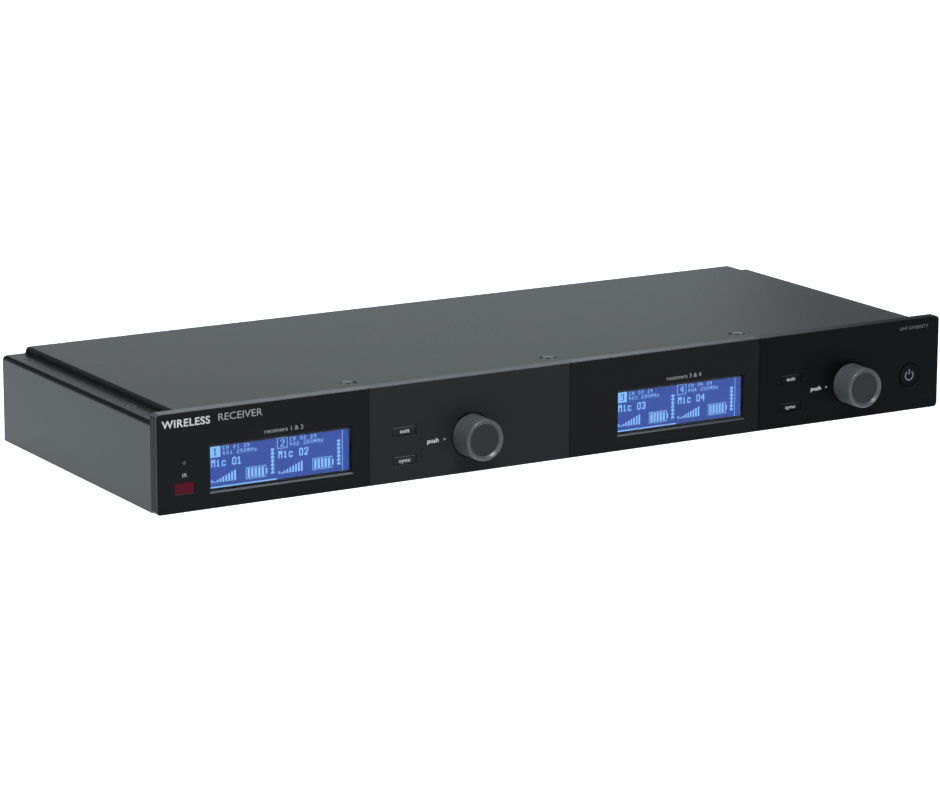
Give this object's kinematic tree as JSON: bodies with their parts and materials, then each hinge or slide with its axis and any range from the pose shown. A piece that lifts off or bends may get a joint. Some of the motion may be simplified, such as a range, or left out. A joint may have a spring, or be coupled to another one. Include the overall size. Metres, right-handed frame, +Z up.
{
  "type": "wireless receiver unit",
  "caption": "Full-width flat wireless microphone receiver with two displays, two push-and-turn knobs, small buttons and rear audio and antenna sockets.",
  "frame": {"origin": "centre of the underside, midway between the front face and the rear panel", "axes": "+X to the right seen from the front, +Y from the front panel to the rear panel, +Z up"},
  "size_m": [0.393, 0.1726, 0.042],
  "materials": {
    "case_paint": "fine powder-coated black",
    "panel_black": "moulded, satin and fine texture",
    "steel_plate": "zinc-plated sheet",
    "screw_black": "black oxide",
    "screw_zinc": "zinc-plated",
    "lens_clear": "clear acrylic",
    "bezel_black": "black sheet",
    "lcd_blue": "lit liquid-crystal screen",
    "backlight_white": "white light box",
    "ir_red": "dark red infra-red filter",
    "light_pipe": "smoked clear",
    "sensor_black": "moulded",
    "knob_black": "satin, finely textured",
    "shaft_metal": "turned",
    "rotor_plastic": "moulded",
    "encoder_metal": "pressed",
    "nut_nickel": "nickel-plated",
    "button_black": "moulded",
    "switch_plastic": "moulded",
    "board_green": "solder mask",
    "ribbon_grey": "flat cable",
    "spacer_brass": "turned",
    "shield_tin": "tin-plated",
    "chip_black": "moulded",
    "sink_aluminium": "black anodised",
    "core_brown": "varnished core",
    "can_blue": "sleeved cans",
    "inlet_black": "moulded",
    "blade_metal": "plated blades",
    "socket_nickel": "satin nickel",
    "pin_metal": "silvered",
    "jack_black": "moulded",
    "network_metal": "tin-plated",
    "insulator_white": "fluoropolymer"
  },
  "bodies": {
    "root": {"ac_inlet": "inlet_black", "antenna_insulators": "insulator_white", "antenna_jacks": "nut_nickel", "antenna_nuts": "nut_nickel", "backlight_left": "backlight_white", "backlight_right": "backlight_white", "base_tray": "case_paint", "board_spacers": "spacer_brass", "board_standoffs": "spacer_brass", "bottom_screws": "screw_black", "capacitors": "can_blue", "connector_screws": "screw_black", "control_board_left": "board_green", "control_board_right": "board_green", "cover_nuts": "screw_zinc", "cover_screws": "screw_black", "display_lens_left": "lens_clear", "display_lens_right": "lens_clear", "encoder_housing_left": "encoder_metal", "encoder_housing_right": "encoder_metal", "encoder_nuts": "nut_nickel", "front_carrier": "steel_plate", "front_panel": "panel_black", "heat_sink": "sink_aluminium", "inlet_pins": "blade_metal", "inner_screws": "screw_zinc", "ir_sensor": "sensor_black", "ir_window": "ir_red", "jack_nuts": "nut_nickel", "lcd_bezel_left": "bezel_black", "lcd_bezel_right": "bezel_black", "lcd_glass_left": "lcd_blue", "lcd_glass_right": "lcd_blue", "ledge_screws": "screw_black", "line_jacks": "jack_black", "main_board": "board_green", "network_jack": "network_metal", "output_pins": "pin_metal", "output_sockets": "socket_nickel", "power_board": "board_green", "processor": "chip_black", "rear_panel": "case_paint", "ribbon_cables": "ribbon_grey", "splitter_shield": "shield_tin", "status_light": "light_pipe", "tact_switches": "switch_plastic", "top_cover": "case_paint", "transformer": "core_brown", "tuner_shields": "shield_tin"},
    "rotor_left": {"encoder_rotor_left": "rotor_plastic"},
    "knob_left": {"knob_left": "knob_black", "encoder_shaft_left": "shaft_metal"},
    "exit_left": {"exit_button_left": "button_black"},
    "sync_left": {"sync_button_left": "button_black"},
    "rotor_right": {"encoder_rotor_right": "rotor_plastic"},
    "knob_right": {"knob_right": "knob_black", "encoder_shaft_right": "shaft_metal"},
    "exit_right": {"exit_button_right": "button_black"},
    "sync_right": {"sync_button_right": "button_black"},
    "power": {"power_button": "button_black"}
  },
  "joints": [
    {"name": "knob_turn_left", "type": "hinge", "parent": "root", "child": "rotor_left", "pos_m": [-0.0489, -0.075, 0.0161], "axis": [0, 1, 0], "continuous": true},
    {"name": "knob_push_left", "type": "slide", "parent": "rotor_left", "child": "knob_left", "axis": [0, 1, 0], "range_m": [0, 0.0005], "stiffness_N_per_m": 4000, "springref_m": -0.0005},
    {"name": "exit_press_left", "type": "slide", "parent": "root", "child": "exit_left", "axis": [0, 1, 0], "range_m": [0, 0.0005], "stiffness_N_per_m": 2000, "springref_m": -0.0005},
    {"name": "sync_press_left", "type": "slide", "parent": "root", "child": "sync_left", "axis": [0, 1, 0], "range_m": [0, 0.0005], "stiffness_N_per_m": 2000, "springref_m": -0.0005},
    {"name": "knob_turn_right", "type": "hinge", "parent": "root", "child": "rotor_right", "pos_m": [0.1476, -0.075, 0.0161], "axis": [0, 1, 0], "continuous": true},
    {"name": "knob_push_right", "type": "slide", "parent": "rotor_right", "child": "knob_right", "axis": [0, 1, 0], "range_m": [0, 0.0005], "stiffness_N_per_m": 4000, "springref_m": -0.0005},
    {"name": "exit_press_right", "type": "slide", "parent": "root", "child": "exit_right", "axis": [0, 1, 0], "range_m": [0, 0.0005], "stiffness_N_per_m": 2000, "springref_m": -0.0005},
    {"name": "sync_press_right", "type": "slide", "parent": "root", "child": "sync_right", "axis": [0, 1, 0], "range_m": [0, 0.0005], "stiffness_N_per_m": 2000, "springref_m": -0.0005},
    {"name": "power_press", "type": "slide", "parent": "root", "child": "power", "axis": [0, 1, 0], "range_m": [0, 0.0005], "stiffness_N_per_m": 2000, "springref_m": -0.0005}
  ]
}
